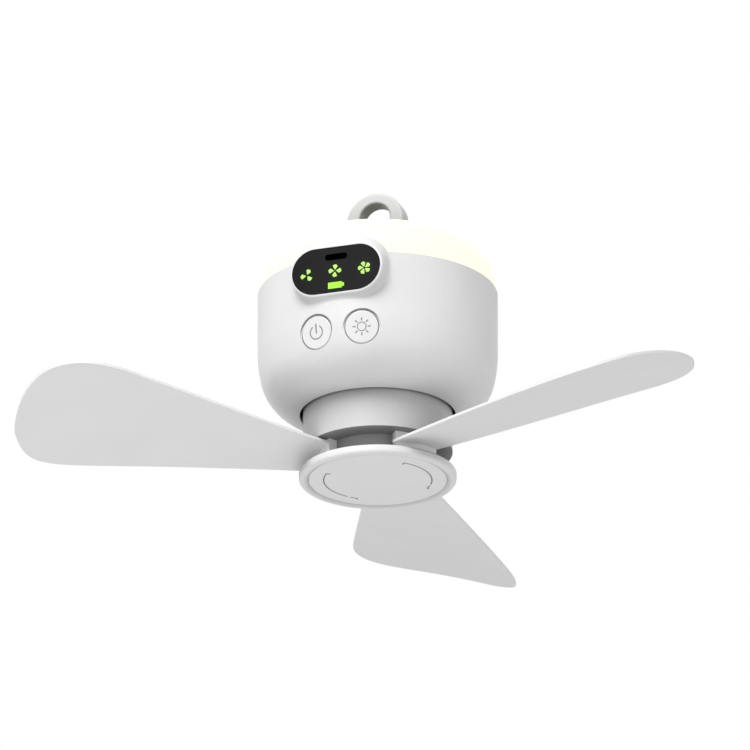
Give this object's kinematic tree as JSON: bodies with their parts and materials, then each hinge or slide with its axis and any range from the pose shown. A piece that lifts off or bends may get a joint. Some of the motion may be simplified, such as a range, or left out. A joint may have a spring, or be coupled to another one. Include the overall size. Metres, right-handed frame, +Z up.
{
  "type": "portable camping fan",
  "caption": "Hanging battery camping fan: round housing with lamp dome, display, push buttons, folding eye, clip-in blades and a twist-lock cap.",
  "frame": {"origin": "centre of the hanging eye", "axes": "+Z up along the rotor's axis, the display faces -Y, the eye's bore runs along Y"},
  "size_m": [0.2816, 0.269, 0.1278],
  "materials": {
    "white_plastic": "fine satin moulded plastic",
    "hub_plastic": "fine satin moulded plastic",
    "blade_plastic": "smooth moulded plastic",
    "button_plastic": "satin moulded plastic",
    "diffuser": "milky light diffuser",
    "dark_window": "smoked window",
    "inner_plastic": "plain moulded",
    "black_plastic": "plain moulded",
    "white_board": "white solder mask",
    "green_board": "green solder mask",
    "led_chip": "phosphor",
    "led_green": "clear chip",
    "steel": "bright steel",
    "port_metal": "bright nickel",
    "motor_alloy": "cast and turned",
    "stator_steel": "dark plated steel",
    "copper_wire": "enamelled copper",
    "magnet": "plated magnet",
    "cell_wrap": "shrink wrap"
  },
  "bodies": {
    "root": {"loop_pin": "steel", "hook_base": "white_plastic", "lamp_diffuser": "diffuser", "lamp_deck": "inner_plastic", "led_ring_board": "white_board", "led_chips": "led_chip", "hook_screws": "steel", "deck_screws": "steel", "housing_shell": "white_plastic", "display_window": "dark_window", "display_light_box": "black_plastic", "display_board": "green_board", "display_leds": "led_green", "infrared_receiver": "black_plastic", "power_switch": "black_plastic", "power_switch_board": "green_board", "light_switch": "black_plastic", "light_switch_board": "green_board", "button_bracket": "inner_plastic", "battery_cells": "cell_wrap", "battery_tray": "inner_plastic", "board_spacers": "inner_plastic", "tray_screws": "steel", "main_board": "green_board", "board_components": "black_plastic", "charging_port": "port_metal", "motor_mount": "motor_alloy", "mount_screws": "steel", "bearing_upper": "steel", "bearing_lower": "steel", "motor_stator": "stator_steel", "stator_windings": "copper_wire"},
    "loop": {"hanging_loop": "white_plastic"},
    "power_button_body": {"power_button": "button_plastic"},
    "light_button_body": {"light_button": "button_plastic"},
    "rotor": {"motor_shaft": "steel", "shaft_clip": "steel", "rotor_bell": "stator_steel", "rotor_magnets": "magnet", "hub_drum": "hub_plastic", "blade_carrier": "hub_plastic", "rotor_screws": "steel", "hub_nut": "steel", "blade_1": "blade_plastic", "blade_2": "blade_plastic", "blade_3": "blade_plastic"},
    "cap": {"lock_cap": "hub_plastic", "cap_disc": "blade_plastic"}
  },
  "joints": [
    {"name": "loop_fold", "type": "hinge", "parent": "root", "child": "loop", "pos_m": [0, 0.0018, -0.0106], "axis": [-1, 0, 0], "range_deg": [0, 90]},
    {"name": "power_press", "type": "slide", "parent": "root", "child": "power_button_body", "axis": [0.2028, 0.9792, 0], "range_m": [0, 0.0008], "stiffness_N_per_m": 600},
    {"name": "light_press", "type": "slide", "parent": "root", "child": "light_button_body", "axis": [-0.2028, 0.9792, 0], "range_m": [0, 0.0008], "stiffness_N_per_m": 600},
    {"name": "rotor_spin", "type": "hinge", "parent": "root", "child": "rotor", "pos_m": [0, 0, -0.1], "axis": [0, 0, 1], "continuous": true},
    {"name": "cap_turn", "type": "hinge", "parent": "rotor", "child": "cap", "pos_m": [0, 0, -0.1], "axis": [0, 0, 1], "range_deg": [0, 60]}
  ]
}
